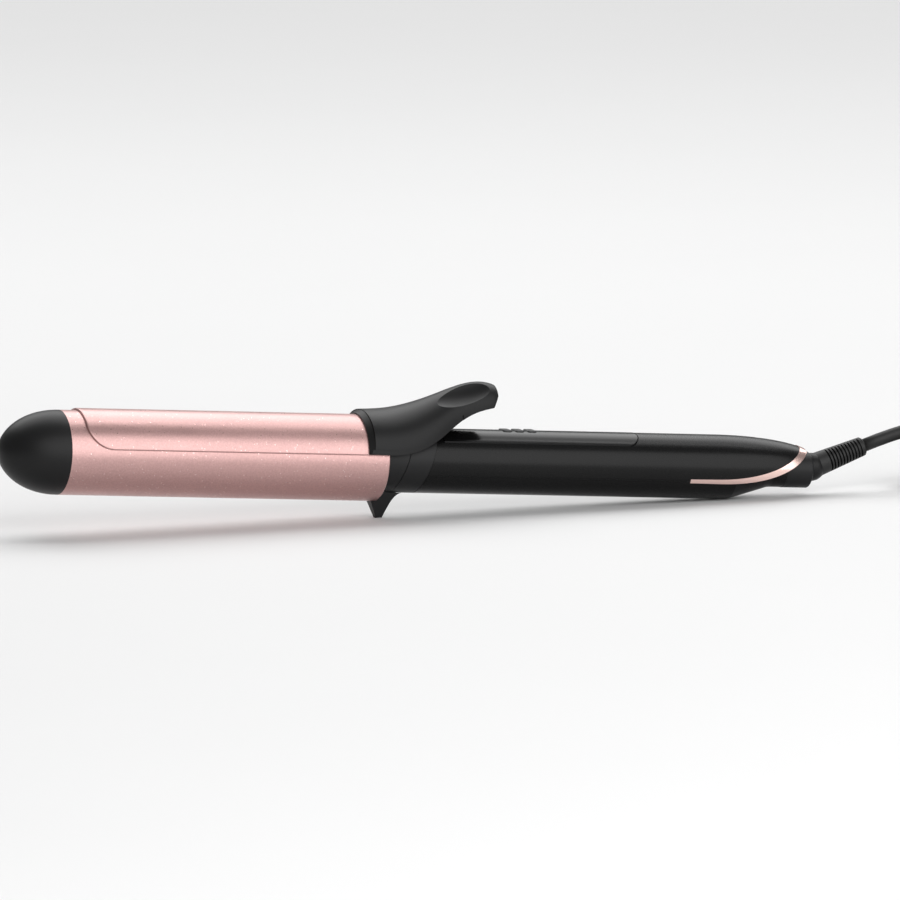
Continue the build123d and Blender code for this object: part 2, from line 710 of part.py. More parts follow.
with BuildPart() as handle_upper:
    revolve(leaf(0), axis=HANDLE_AXIS)
    extrude(UPPER_REGION, amount=BIG, both=True, mode=Mode.INTERSECT)
    revolve(CAVITY_PROFILE, axis=HANDLE_AXIS, mode=Mode.SUBTRACT)
    for x in BOSS_X:
        with BuildSketch(Plane.XY.offset(0)):
            with Locations((x, 0)):
                Circle(BOSS_R)
        extrude(amount=HANDLE_R - 1.5)
        with BuildSketch(Plane.XY.offset(-1)):
            with Locations((x, 0)):
                Circle(SCREW_R + FIT / 2)
        extrude(amount=9, mode=Mode.SUBTRACT)
    with BuildSketch(across(CAVITY_REAR - 1, SOCKET_Z)):
        Circle(SOCKET_R - 1 + FIT)
    extrude(amount=LOWER_END - CAVITY_REAR + 2, mode=Mode.SUBTRACT)
    with BuildSketch(across(LOWER_END, SOCKET_Z)):
        Circle(SOCKET_R + FIT)
    extrude(amount=BIG, mode=Mode.SUBTRACT)
    add(strip(GROOVE, HANDLE_R - PANEL_THICKNESS - FIT, HANDLE_R + 3), mode=Mode.SUBTRACT)
    with BuildSketch(Plane.XY):
        with Locations([(x, 0) for x in BUTTON_X.values()]):
            RectangleRounded(BUTTON_LENGTH + 0.4, BUTTON_WIDTH + 0.4, 1.2)
        with Locations([(x, 0) for x in PIPE_X]):
            Circle(PIPE_R + FIT)
    extrude(amount=BIG, mode=Mode.SUBTRACT)
finish(handle_upper, "handle_upper")

with BuildPart() as handle_lower:
    revolve(TAIL_PROFILE, axis=HANDLE_AXIS)
    extrude(LOWER_REGION, amount=BIG, both=True, mode=Mode.INTERSECT)
    revolve(CAVITY_PROFILE, axis=HANDLE_AXIS, mode=Mode.SUBTRACT)
    for x in BOSS_X:
        with BuildSketch(Plane.XY.offset(-FIT)):
            with Locations((x, 0)):
                Circle(BOSS_R)
        extrude(amount=1 - HANDLE_R)
        with BuildSketch(Plane.XY):
            with Locations((x, 0)):
                Circle(SCREW_R + FIT / 2)
        extrude(amount=HEAD_Z, mode=Mode.SUBTRACT)
        with BuildSketch(Plane.XY.offset(HEAD_Z)):
            with Locations((x, 0)):
                Circle(HEAD_R + FIT)
        extrude(amount=-BIG, mode=Mode.SUBTRACT)
    with BuildSketch(across(CAVITY_REAR - 1, SOCKET_Z)):
        Circle(SOCKET_R - 1 + FIT)
    extrude(amount=LOWER_END - CAVITY_REAR + 2, mode=Mode.SUBTRACT)
    with BuildSketch(across(LOWER_END, SOCKET_Z)):
        Circle(BIG)
    extrude(amount=BIG, mode=Mode.SUBTRACT)
finish(handle_lower, "handle_lower")

with BuildPart() as handle_screws:
    for x in BOSS_X:
        with BuildSketch(Plane.XY.offset(HEAD_Z)):
            with Locations((x, 0)):
                Circle(HEAD_R)
                Rectangle(3.0, 0.7, mode=Mode.SUBTRACT)
        extrude(amount=-1.6)
        with BuildSketch(Plane.XY.offset(HEAD_Z)):
            with Locations((x, 0)):
                Circle(SCREW_R)
        extrude(amount=17)
finish(handle_screws, "handle_screws")

with BuildPart() as trim_band:
    revolve(leaf(TRIM_PROUD), axis=HANDLE_AXIS)
    revolve(leaf(-TRIM_DEPTH), axis=HANDLE_AXIS, mode=Mode.SUBTRACT)
    extrude(TRIM_REGION, amount=BIG, both=True, mode=Mode.INTERSECT)
    revolve(TAIL_PROFILE, axis=HANDLE_AXIS, mode=Mode.SUBTRACT)
    with BuildSketch(across(LOWER_END, SOCKET_Z)):
        Circle(SOCKET_R + FIT)
    extrude(amount=BIG, mode=Mode.SUBTRACT)
finish(trim_band, "trim_band")

# ---- Controls ------------------------------------------------------------------------------
with BuildPart() as control_panel:
    add(strip(0, HANDLE_R - PANEL_THICKNESS, HANDLE_R + 0.1))
    with BuildSketch(Plane.XY):
        with Locations([(x, 0) for x in BUTTON_X.values()]):
            RectangleRounded(BUTTON_LENGTH + 0.4, BUTTON_WIDTH + 0.4, 1.2)
        with Locations([(x, 0) for x in PIPE_X]):
            Circle(PIPE_R + FIT)
    extrude(amount=BIG, mode=Mode.SUBTRACT)
finish(control_panel, "control_panel")

FLANGE_TOP_Z = 11.1
for button_name, x in BUTTON_X.items():
    with BuildPart() as button:
        with BuildSketch(Plane.XY.offset(FLANGE_TOP_Z)):
            with Locations((x, 0)):
                RectangleRounded(BUTTON_LENGTH, BUTTON_WIDTH, 1.0)
        extrude(amount=BUTTON_TOP_Z - FLANGE_TOP_Z)
        fillet(button.faces().sort_by(Axis.Z)[-1].edges(), 0.5)
        with BuildSketch(Plane.XY.offset(STEM_END_Z)):
            with Locations((x, 0)):
                RectangleRounded(BUTTON_LENGTH + 1.0, BUTTON_WIDTH + 1.2, 1.2)
        extrude(amount=FLANGE_TOP_Z - STEM_END_Z)
    finish(button, button_name)

with BuildPart() as light_guide:
    with Locations(((PIPE_X[0] + PIPE_X[-1]) / 2, 0, 10.6)):
        Box(PIPE_X[-1] - PIPE_X[0] + 4, 4, 1.4)
    with BuildSketch(Plane.XY.offset(10.6)):
        with Locations([(x, 0) for x in PIPE_X]):
            Circle(PIPE_R)
    extrude(amount=HANDLE_R + HANDLE_Z - 10.6)
finish(light_guide, "light_guide")

BOARD_TOP = BOARD_Z + BOARD_THICKNESS
with BuildPart() as circuit_board:
    with Locations(((BOARD_FRONT + BOARD_REAR) / 2, 0, BOARD_Z + BOARD_THICKNESS / 2)):
        Box(BOARD_REAR - BOARD_FRONT, BOARD_WIDTH, BOARD_THICKNESS)
    fillet(circuit_board.edges().filter_by(Axis.Z), 1)
finish(circuit_board, "circuit_board")

with BuildPart() as tact_switches:
    for x in BUTTON_X.values():
        with Locations((x, 0, BOARD_TOP + FIT + 1.3)):
            Box(4.4, 6.0, 2.6)
        with BuildSketch(Plane.XY.offset(BOARD_TOP + FIT + 2.6)):
            with Locations((x, 0)):
                Circle(1.2)
        extrude(amount=9.5 - BOARD_TOP - FIT - 2.6)
finish(tact_switches, "tact_switches")

with BuildPart() as controller_chip:
    with Locations((122, 0, BOARD_TOP + FIT + 0.8)):
        Box(10, 6, 1.6)
    chamfer(controller_chip.edges().group_by(Axis.Z)[-1], 0.3)
finish(controller_chip, "controller_chip")

with BuildPart() as light_sources:
    for x in PIPE_X:
        with Locations((x, 0, BOARD_TOP + FIT + 0.5)):
            Box(2.0, 1.4, 1.0)
finish(light_sources, "light_sources")

with BuildPart() as triac:
    with Locations((112, 0, BOARD_Z - FIT - 2.3)):
        Box(15, 10, 4.6)
finish(triac, "triac")

with BuildPart() as heat_sink:
    with Locations((112, 0, BOARD_Z - 2 * FIT - 4.6 - 0.75)):
        Box(26, 14, 1.5)
    with Locations([(x, 0, -4.1) for x in range(101, 124, 4)]):
        Box(1.2, 14, 5.0)
finish(heat_sink, "heat_sink")

with BuildPart() as capacitor:
    with Locations((141, 0, BOARD_Z - FIT - 5)):
        Box(16, 7, 10)
    fillet(capacitor.edges().filter_by(Axis.Z), 1)
finish(capacitor, "capacitor")

# ---- Tail: socket, swivel and boot ---------------------------------------------------------
WEB_FRONT = 196.0
WEB_REAR = 199.8
with BuildPart() as tail_socket:
    with BuildSketch(across(SOCKET_FRONT, SOCKET_Z)):
        Circle(SOCKET_R - 1)
    extrude(amount=LOWER_END - SOCKET_FRONT + 1)
    with BuildSketch(across(LOWER_END + FIT, SOCKET_Z)):
        Circle(SOCKET_R)
    extrude(amount=SOCKET_REAR - LOWER_END - FIT)
    fillet(tail_socket.faces().sort_by(Axis.X)[-1].edges(), 0.8)
    with BuildSketch(across(SOCKET_FRONT, SOCKET_Z)):
        Circle(SOCKET_R - 2)
    extrude(amount=WEB_FRONT - SOCKET_FRONT, mode=Mode.SUBTRACT)
    with BuildSketch(across(SOCKET_FRONT, SOCKET_Z)):
        Circle(SPINDLE_R + RUN)
    extrude(amount=BIG, mode=Mode.SUBTRACT)
    with BuildSketch(across(WEB_REAR, SOCKET_Z)):
        Circle(JOURNAL_R + RUN)
    extrude(amount=BIG, mode=Mode.SUBTRACT)
finish(tail_socket, "tail_socket")

with BuildPart() as swivel_head:
    with BuildSketch(across(SOCKET_FRONT + 1.5, SOCKET_Z)):
        Circle(SPINDLE_R)
    extrude(amount=WEB_REAR - SOCKET_FRONT)
    with BuildSketch(across(WEB_REAR + RUN, SOCKET_Z)):
        Circle(JOURNAL_R)
    extrude(amount=SOCKET_REAR - WEB_REAR + 0.5)
    with Locations((ROOT_X, 0, ROOT_Z)):
        Sphere(ROOT_R)
    with BuildSketch(across(WEB_REAR, SOCKET_Z)):
        Circle(BIG)
        Circle(JOURNAL_R, mode=Mode.SUBTRACT)
    extrude(amount=SOCKET_REAR + FIT - WEB_REAR, mode=Mode.SUBTRACT)
finish(swivel_head, "swivel_head")

RING_X = (190.2, 193.4)
with BuildPart() as contact_rings:
    for x in RING_X:
        with BuildSketch(across(x, SOCKET_Z)):
            Circle(RING_R)
            Circle(SPINDLE_R + RUN, mode=Mode.SUBTRACT)
        extrude(amount=2)
finish(contact_rings, "contact_rings")

BRUSH_Z = 3.05
with BuildPart() as contact_brushes:
    for x, y in zip(RING_X, (-2.0, 2.0)):
        with BuildSketch(Plane.XZ.offset(-y)):
            Polygon(
                (178, 4.0), (178, 4.5), (x + 1.4, 4.5), (x + 1.4, BRUSH_Z), (x + 0.7, BRUSH_Z),
                (x + 0.7, 4.0), align=None,
            )
        extrude(amount=1, both=True)
finish(contact_brushes, "contact_brushes")

with BuildPart() as supply_leads:
    for y in (-4.0, 4.0):
        start = (BOARD_REAR + FIT, y, 3.0)
        with BuildLine():
            FilletPolyline(start, (165, y, 3.0), (171, 0.5 * y, 4.1), (177.9, 0.5 * y, 4.1), radius=3)
        with BuildSketch(Plane(origin=start, x_dir=(0, 1, 0), z_dir=(1, 0, 0))):
            Circle(LEAD_R)
        sweep()
finish(supply_leads, "supply_leads")

BOOT_DIRECTION = (cos(radians(BOOT_ANGLE)), 0, sin(radians(BOOT_ANGLE)))


def along_boot(distance):
    """A plane square to the boot's axis, at a distance from the centre of its root."""
    centre = Vector(ROOT_X, 0, ROOT_Z) + Vector(*BOOT_DIRECTION) * distance
    return Plane(origin=centre, x_dir=(0, 1, 0), z_dir=BOOT_DIRECTION)


SLIT_START = 8.0
SLIT_PITCH = 1.6
BOOT_SIDE = Plane(origin=(ROOT_X, 0, ROOT_Z), x_dir=BOOT_DIRECTION, z_dir=(0, -1, 0))
BOOT_CHAMFER = 0.7
with BuildPart() as strain_relief:
    with BuildSketch(BOOT_SIDE):
        Polygon(
            (0, 0),
            (0, BOOT_ROOT_R),
            (BOOT_LENGTH - BOOT_CHAMFER, BOOT_END_R),
            (BOOT_LENGTH, BOOT_END_R - BOOT_CHAMFER),
            (BOOT_LENGTH, 0),
            align=None,
        )
    revolve(axis=Axis((ROOT_X, 0, ROOT_Z), BOOT_DIRECTION))
    for n in range(SLITS):
        with BuildSketch(along_boot(SLIT_START + n * SLIT_PITCH)):
            Circle(BOOT_ROOT_R + 1)
            Circle(CORD_R + 0.4, mode=Mode.SUBTRACT)
            Rectangle(2.4, BIG, mode=Mode.SUBTRACT)
        extrude(amount=0.8, mode=Mode.SUBTRACT)
    with Locations((ROOT_X, 0, ROOT_Z)):
        Sphere(ROOT_R + FIT / 2, mode=Mode.SUBTRACT)
finish(strain_relief, "strain_relief")

# ---- Set the iron down on its foot and heel -------------------------------------------------
for piece in iron:
    piece.part.move(REST)
    export_step(piece.part, f"parts/{piece.part.label}.step")
whole = Compound(children=[piece.part for piece in iron]).bounding_box()
print("iron box", whole.min, whole.max, "middle", whole.center())

# ---- Cord, hank and plug, on the table ------------------------------------------------------
boot_end = (REST * Location(along_boot(BOOT_LENGTH).origin)).position
print("the boot ends at", boot_end, "and the iron leans", round(degrees(TILT), 2), "degrees")
LEAD_POINTS = (
    (209.2, 0.0, 20.93),
    (228.2, 0.0, 27.2),
    (249.0, -3.0, 29.8),
    (270.0, -7.6, 25.6),
    (290.0, -6.4, 17.4),
)
TAIL_POINTS = (
    (347.0, -24.0, 3.0),
    (364.0, -23.4, 3.1),
    (379.0, -17.6, 4.3),
    (393.5, -12.3, 6.8),
    PLUG_AT,
)


def corner_radii(points):
    """The radius of the arc at each corner: 0.45 of the shorter run over tan(half the turn)."""
    radii = []
    for before, corner, after in zip(points, points[1:], points[2:]):
        arriving, leaving = Vector(*corner) - Vector(*before), Vector(*after) - Vector(*corner)
        half_turn = radians(arriving.get_angle(leaving)) / 2
        radii.append(0.45 * min(arriving.length, leaving.length) / tan(half_turn))
    return radii


for cord_name, points in (("cord_lead", LEAD_POINTS), ("cord_tail", TAIL_POINTS)):
    radii = corner_radii(points)
    with BuildPart() as cord:
        with BuildLine() as route:
            FilletPolyline(*points, radius=radii)
        path = route.wires()[0]
        with BuildSketch(Plane(origin=points[0], z_dir=path % 0)):
            Circle(CORD_R)
        sweep(path=path)
    cord.part.label = cord_name
    export_step(cord.part, f"parts/{cord_name}.step")
    expected = pi * CORD_R**2 * path.length
    print(cord_name, "radii", [round(radius) for radius in radii], "length", round(path.length, 1),
          "volume share", round(cord.part.volume / expected, 4))

HANK_FAR_X = HANK_NEAR_X + HANK_LEG
WAIST_X = HANK_NEAR_X + HANK_LEG / 2
STRAND = 2 * CORD_R + 0.05
LOOP_OUTER_R = LOOP_R + (LANES - 1) * STRAND + CORD_R
WAIST_OUTER = WAIST_HALF + (LANES - 1) * STRAND + CORD_R
HANK_HEIGHT = LAYERS * STRAND
TIE_FIT = 0.1
with BuildPart() as cord_hank:
    with BuildSketch():
        with BuildLine():
            leg = Bezier(
                (HANK_NEAR_X, LOOP_OUTER_R),
                (HANK_NEAR_X + 0.3 * HANK_LEG, LOOP_OUTER_R),
                (WAIST_X - 0.22 * HANK_LEG, WAIST_OUTER),
                (WAIST_X, WAIST_OUTER),
            )
            mirror(leg, about=Plane.YZ.offset(WAIST_X))
            ThreePointArc(
                (HANK_NEAR_X, LOOP_OUTER_R), (HANK_NEAR_X - LOOP_OUTER_R, 0), (HANK_NEAR_X, -LOOP_OUTER_R)
            )
            ThreePointArc(
                (HANK_FAR_X, LOOP_OUTER_R), (HANK_FAR_X + LOOP_OUTER_R, 0), (HANK_FAR_X, -LOOP_OUTER_R)
            )
            lower_leg = mirror(leg, about=Plane.XZ)
            mirror(lower_leg, about=Plane.YZ.offset(WAIST_X))
        make_face()
    extrude(amount=HANK_HEIGHT)
    fillet(cord_hank.faces().sort_by(Axis.Z)[-1].edges(), 2)
    with Locations((WAIST_X, 0, TIE_THICKNESS + TIE_FIT + HANK_HEIGHT / 2)):
        Box(TIE_WIDTH + 6, 2 * WAIST_OUTER, HANK_HEIGHT)
    with Locations((WAIST_X, 0, 0)):
        Box(TIE_WIDTH + 6, 2 * BIG, 2 * (TIE_THICKNESS + TIE_FIT), mode=Mode.SUBTRACT)
cord_hank.part.label = "cord_hank"
export_step(cord_hank.part, "parts/cord_hank.step")

TIE_HOLE_Y = 2 * (WAIST_OUTER + 0.9)
TIE_HOLE_Z = HANK_HEIGHT + 2 * TIE_FIT
with BuildPart() as hank_tie:
    with BuildSketch(Plane.YZ.offset(WAIST_X - TIE_WIDTH / 2)):
        with Locations((0, TIE_THICKNESS + TIE_HOLE_Z / 2)):
            RectangleRounded(TIE_HOLE_Y + 2 * TIE_THICKNESS, TIE_HOLE_Z + 2 * TIE_THICKNESS, 2)
            RectangleRounded(TIE_HOLE_Y, TIE_HOLE_Z, 0.8, mode=Mode.SUBTRACT)
    extrude(amount=TIE_WIDTH)
hank_tie.part.label = "hank_tie"
export_step(hank_tie.part, "parts/hank_tie.step")

RELIEF_LENGTH = 12.0
PLUG_LENGTH = 34.0
PLUG_WIDTH = 26.0
PLUG_THICKNESS = 13.6
PIN_SPACING = 18.6
PLUG_PIN_R = 2.0
PLUG_PIN_LENGTH = 19.0
PIN_ROOT_R = 1.5
PIN_ROOT_LENGTH = 8.0
plug_x, plug_y, plug_z = PLUG_AT
body_x = plug_x + RELIEF_LENGTH
face_x = body_x + PLUG_LENGTH
with BuildPart() as plug_body:
    with BuildSketch(Plane.XY.offset(plug_z)):
        with Locations((0, plug_y)):
            Polygon(
                (body_x, -6.0),
                (body_x + 12, -PLUG_WIDTH / 2),
                (face_x, -PLUG_WIDTH / 2),
                (face_x, PLUG_WIDTH / 2),
                (body_x + 12, PLUG_WIDTH / 2),
                (body_x, 6.0),
                align=None,
            )
    extrude(amount=PLUG_THICKNESS / 2, both=True)
    fillet(plug_body.edges().filter_by(Axis.Z), 3)
    fillet(plug_body.faces().filter_by(Axis.Z).edges(), 2.5)
    with BuildSketch(across(plug_x, plug_z)):
        with Locations((plug_y, 0)):
            Circle(CORD_R + 0.7)
    with BuildSketch(across(body_x + 1, plug_z)):
        with Locations((plug_y, 0)):
            Circle(CORD_R + 2.2)
    loft()
    with BuildSketch(across(face_x, plug_z)):
        with Locations((plug_y - PIN_SPACING / 2, 0), (plug_y + PIN_SPACING / 2, 0)):
            Circle(PIN_ROOT_R + FIT)
    extrude(amount=-PIN_ROOT_LENGTH - FIT, mode=Mode.SUBTRACT)
plug_body.part.label = "plug_body"
export_step(plug_body.part, "parts/plug_body.step")

with BuildPart() as plug_pins:
    for y in (plug_y - PIN_SPACING / 2, plug_y + PIN_SPACING / 2):
        with BuildSketch(across(face_x, plug_z)):
            with Locations((y, 0)):
                Circle(PLUG_PIN_R)
        extrude(amount=PLUG_PIN_LENGTH)
        with BuildSketch(across(face_x, plug_z)):
            with Locations((y, 0)):
                Circle(PIN_ROOT_R)
        extrude(amount=-PIN_ROOT_LENGTH)
    fillet(plug_pins.faces().group_by(Axis.X)[-1].edges(), 0.8)
plug_pins.part.label = "plug_pins"
export_step(plug_pins.part, "parts/plug_pins.step")
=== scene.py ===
"""Looks of the curling iron: materials, the worked-up outer pieces, the cord, light and camera."""

import math

import bmesh
import bpy
from mathutils import Matrix, Vector


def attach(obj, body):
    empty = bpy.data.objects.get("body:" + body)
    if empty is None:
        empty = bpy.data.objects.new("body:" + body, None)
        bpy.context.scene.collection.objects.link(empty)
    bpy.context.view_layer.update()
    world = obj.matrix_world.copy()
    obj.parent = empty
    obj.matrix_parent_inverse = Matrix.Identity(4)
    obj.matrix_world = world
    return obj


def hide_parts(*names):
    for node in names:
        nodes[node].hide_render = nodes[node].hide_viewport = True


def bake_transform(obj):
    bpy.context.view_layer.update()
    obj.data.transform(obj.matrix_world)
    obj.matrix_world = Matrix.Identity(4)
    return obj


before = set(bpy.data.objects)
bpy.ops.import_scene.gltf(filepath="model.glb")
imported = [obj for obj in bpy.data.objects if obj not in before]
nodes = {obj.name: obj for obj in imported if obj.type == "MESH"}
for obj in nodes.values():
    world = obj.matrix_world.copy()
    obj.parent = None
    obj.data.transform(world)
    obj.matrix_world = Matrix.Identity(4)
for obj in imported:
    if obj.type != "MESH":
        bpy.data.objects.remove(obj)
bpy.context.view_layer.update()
scene = bpy.context.scene
MM = 0.001

# The iron's own frame, in millimetres: X along the barrel with 0 at its rear end, Z up through
# the clamp. It leans by LEAN, so that it rests on its foot and on the heel of the handle.
FOOT_X, FOOT_DROP = 3.1, 26.5
HEEL_X, HEEL_DROP = 172.0, 15.0
LEAN = math.atan2(FOOT_DROP - HEEL_DROP, HEEL_X - FOOT_X)
IRON_X = -30.07
IRON_AT = Vector((IRON_X, 0.0, FOOT_X * math.sin(LEAN) + FOOT_DROP * math.cos(LEAN)))
LEANED = Matrix.Rotation(LEAN, 4, "Y")


def at(x, y, z):
    """A point of the iron's own frame, in millimetres, as a place in the row frame in metres."""
    return (IRON_AT + LEANED @ Vector((x, y, z))) * MM


# ---- Camera --------------------------------------------------------------------------------
VIEW_AZIMUTH = math.radians(-22.0)
VIEW_ELEVATION = math.radians(7.4)
VIEW_DISTANCE = 6.8
VIEW_WIDTH = 0.4054
SENSOR = 36.0
AIM_RIGHT = 0.0059
AIM_UP = 0.0289

back = Vector((
    math.sin(VIEW_AZIMUTH) * math.cos(VIEW_ELEVATION),
    -math.cos(VIEW_AZIMUTH) * math.cos(VIEW_ELEVATION),
    math.sin(VIEW_ELEVATION),
))
right = Vector((math.cos(VIEW_AZIMUTH), math.sin(VIEW_AZIMUTH), 0.0))
up = back.cross(right)
camera = bpy.data.objects.new("camera", bpy.data.cameras.new("camera"))
scene.collection.objects.link(camera)
camera.data.sensor_width = SENSOR
camera.data.lens = SENSOR * VIEW_DISTANCE / VIEW_WIDTH
camera.data.clip_end = 60.0
camera.matrix_world = Matrix.Translation(
    back * VIEW_DISTANCE + right * AIM_RIGHT + up * AIM_UP
) @ Matrix((right, up, back)).transposed().to_4x4()
scene.camera = camera

# ---- Cord route, in metres -----------------------------------------------------------------
CORD_R = 0.003
STRAND = 0.00605
NEAR_X, WAIST_X, FAR_X = 0.260, 0.2995, 0.342
LOOP_R = 0.018
WAIST_Y = 0.00315
WAIST_RISE = 0.0013
LAPS = 5
SLOTS = ((0, 2), (1, 2), (1, 1), (0, 1), (0, 0), (1, 0))  # lane and layer of each lap in turn
SPLINE_PULL = 0.9665  # a quadratic spline of 12 points a turn runs this share of their radius
LOOP_ANGLES = (-75, -45, -15, 15, 45, 75)
LEAD_IN = 5  # points of a lap that the cord runs along before the first whole lap
LIFTED = 0.012  # how far the lift over the tie reaches, each way from the waist
LEG_STEPS = (0.033, 0.0215, 0.0105, 0.0, -0.0105, -0.0215, -0.033)
LEAD_POINTS = (
    (0.2092, 0.0, 0.02093),
    (0.2282, 0.0, 0.0272),
    (0.2490, -0.0030, 0.0298),
    (0.2700, -0.0076, 0.0256),
)
TAIL_POINTS = (
    (0.3470, -0.0240, 0.0030),
    (0.3640, -0.0234, 0.0031),
    (0.3790, -0.0176, 0.0043),
    (0.3935, -0.0123, 0.0068),
    (0.4070, -0.0120, 0.0070),
)


def lap_places():
    """One lap of the hank on its inner lane: (x, y, outward x, outward y, lift) of each point."""
    places = []
    for side in (1, -1):
        centre = FAR_X if side == 1 else NEAR_X
        for turn in LOOP_ANGLES:
            angle = math.radians(turn)
            out = (side * math.cos(angle), side * math.sin(angle))
            reach = LOOP_R / SPLINE_PULL
            places.append((centre + reach * out[0], reach * out[1], *out, 0.0))
        for step in LEG_STEPS:
            share = abs(step) / (FAR_X - WAIST_X)
            wide = WAIST_Y + (LOOP_R - WAIST_Y) * share * share * (3 - 2 * share)
            slope = 6 * (LOOP_R - WAIST_Y) * share * (1 - share) / (FAR_X - WAIST_X)
            length = math.hypot(slope, 1.0)
            lift = WAIST_RISE if abs(step) < LIFTED else 0.0
            lean = math.copysign(slope, step) / length
            places.append((
                WAIST_X + side * step, side * wide, -side * lean, side / length, lift
            ))
    return places


def hank_points():
    """The hank's control points: laps that move from slot to slot, each a little before the last."""
    places = lap_places()
    first = len(places) - LEAD_IN
    points = []
    for lap in range(-1, LAPS):
        change = 2 * (LAPS - lap)
        for index, (x, y, out_x, out_y, lift) in enumerate(places):
            if lap < 0 and index < first:
                continue
            slot = 0 if lap < 0 else lap + (index >= change)
            lane, layer = SLOTS[slot]
            points.append((
                x + lane * STRAND * out_x,
                y + lane * STRAND * out_y,
                CORD_R + layer * STRAND + lift,
            ))
    return points


def spline_line(name, points, resolution):
    """Points along a smooth NURBS spline that has these control points."""
    curve = bpy.data.curves.new(name, "CURVE")
    curve.dimensions = "3D"
    curve.resolution_u = resolution
    spline = curve.splines.new("NURBS")
    spline.points.add(len(points) - 1)
    for point, place in zip(spline.points, points):
        point.co = (*place, 1.0)
    spline.order_u = 3
    spline.use_endpoint_u = True
    holder = bpy.data.objects.new(name, curve)
    mesh = bpy.data.meshes.new_from_object(holder)
    line = [vertex.co.copy() for vertex in mesh.vertices]
    bpy.data.objects.remove(holder)
    bpy.data.curves.remove(curve)
    bpy.data.meshes.remove(mesh)
    return line


def new_piece(name, mesh, material, smooth=True):
    """A mesh as an object of the scene, with its material."""
    for face in mesh.polygons:
        face.use_smooth = smooth
    piece = bpy.data.objects.new(name, mesh)
    mesh.materials.append(material)
    scene.collection.objects.link(piece)
    return piece


def tube(name, line, radius, sides, material):
    """A round tube along a line, with closed ends."""
    shape = bmesh.new()
    uv = shape.loops.layers.uv.new("along")
    across = Vector((0, 1, 0))
    rings, run = [], [0.0]
    for index, place in enumerate(line):
        ahead = line[min(index + 1, len(line) - 1)]
        behind = line[max(index - 1, 0)]
        course = (ahead - behind).normalized()
        across = (across - course * across.dot(course)).normalized()
        other = course.cross(across)
        rings.append([
            shape.verts.new(
                place + (across * math.cos(turn) + other * math.sin(turn)) * radius
            )
            for turn in (2 * math.pi * side / sides for side in range(sides))
        ])
        if index:
            run.append(run[-1] + (place - behind).length)
    for index in range(len(rings) - 1):
        for side in range(sides):
            after = (side + 1) % sides
            face = shape.faces.new((
                rings[index][side], rings[index][after], rings[index + 1][after], rings[index + 1][side]
            ))
            spots = ((index, side), (index, side + 1), (index + 1, side + 1), (index + 1, side))
            for loop, (ring, turn) in zip(face.loops, spots):
                loop[uv].uv = (run[ring], turn / sides)
    shape.faces.new(rings[0][::-1])
    shape.faces.new(rings[-1])
    mesh = bpy.data.meshes.new(name)
    shape.to_mesh(mesh)
    shape.free()
    return new_piece(name, mesh, material)


# ---- Materials -----------------------------------------------------------------------------
def shader(name, color, roughness, metallic=0.0, **sockets):
    """A Principled material with object coordinates: (material, its node tree, shader, coordinates)."""
    made = bpy.data.materials.new(name)
    made.use_nodes = True
    tree = made.node_tree
    surface = tree.nodes["Principled BSDF"]
    surface.inputs["Base Color"].default_value = (*color, 1.0)
    surface.inputs["Roughness"].default_value = roughness
    surface.inputs["Metallic"].default_value = metallic
    for socket, value in sockets.items():
        surface.inputs[socket.replace("_", " ")].default_value = value
    place = tree.nodes.new("ShaderNodeTexCoord").outputs["Object"]
    return made, tree, surface, place


def noise(tree, place, scale, detail=3.0, roughness=0.55):
    """A noise texture's value, of about 1/scale metres."""
    texture = tree.nodes.new("ShaderNodeTexNoise")
    tree.links.new(place, texture.inputs["Vector"])
    texture.inputs["Scale"].default_value = scale
    texture.inputs["Detail"].default_value = detail
    texture.inputs["Roughness"].default_value = roughness
    return texture.outputs["Fac"]


def ramp(tree, value, low, high, at_low=0.0, at_high=1.0):
    """A value spread from low..high onto the numbers or colours at_low..at_high."""
    stretch = tree.nodes.new("ShaderNodeMapRange")
    tree.links.new(value, stretch.inputs["Value"])
    for socket, number in (("From Min", low), ("From Max", high), ("To Min", at_low), ("To Max", at_high)):
        stretch.inputs[socket].default_value = number
    return stretch.outputs["Result"]


def tint(tree, amount, first, second):
    """A colour between two, by an amount."""
    mix = tree.nodes.new("ShaderNodeMix")
    mix.data_type = "RGBA"
    tree.links.new(amount, mix.inputs["Factor"])
    mix.inputs["A"].default_value = (*first, 1.0)
    mix.inputs["B"].default_value = (*second, 1.0)
    return mix.outputs["Result"]


def bump(tree, surface, height, depth):
    """Bump of that depth in metres on a surface."""
    node = tree.nodes.new("ShaderNodeBump")
    tree.links.new(height, node.inputs["Height"])
    node.inputs["Distance"].default_value = depth
    node.inputs["Strength"].default_value = 1.0
    tree.links.new(node.outputs["Normal"], surface.inputs["Normal"])


def moulded(name, color, roughness, grain=900.0, depth=0.00002, spread=0.06, **sockets):
    """Moulded plastic: a fine even grain, with tone and polish that vary a little."""
    made, tree, surface, place = shader(name, color, roughness, **sockets)
    cloud = noise(tree, place, 55.0)
    fine = noise(tree, place, grain, 2.0)
    darker = tuple(0.86 * part for part in color)
    lighter = tuple(1.12 * part for part in color)
    tree.links.new(tint(tree, cloud, darker, lighter), surface.inputs["Base Color"])
    tree.links.new(
        ramp(tree, fine, 0.3, 0.7, roughness - spread / 2, roughness + spread / 2),
        surface.inputs["Roughness"],
    )
    bump(tree, surface, fine, depth)
    return made


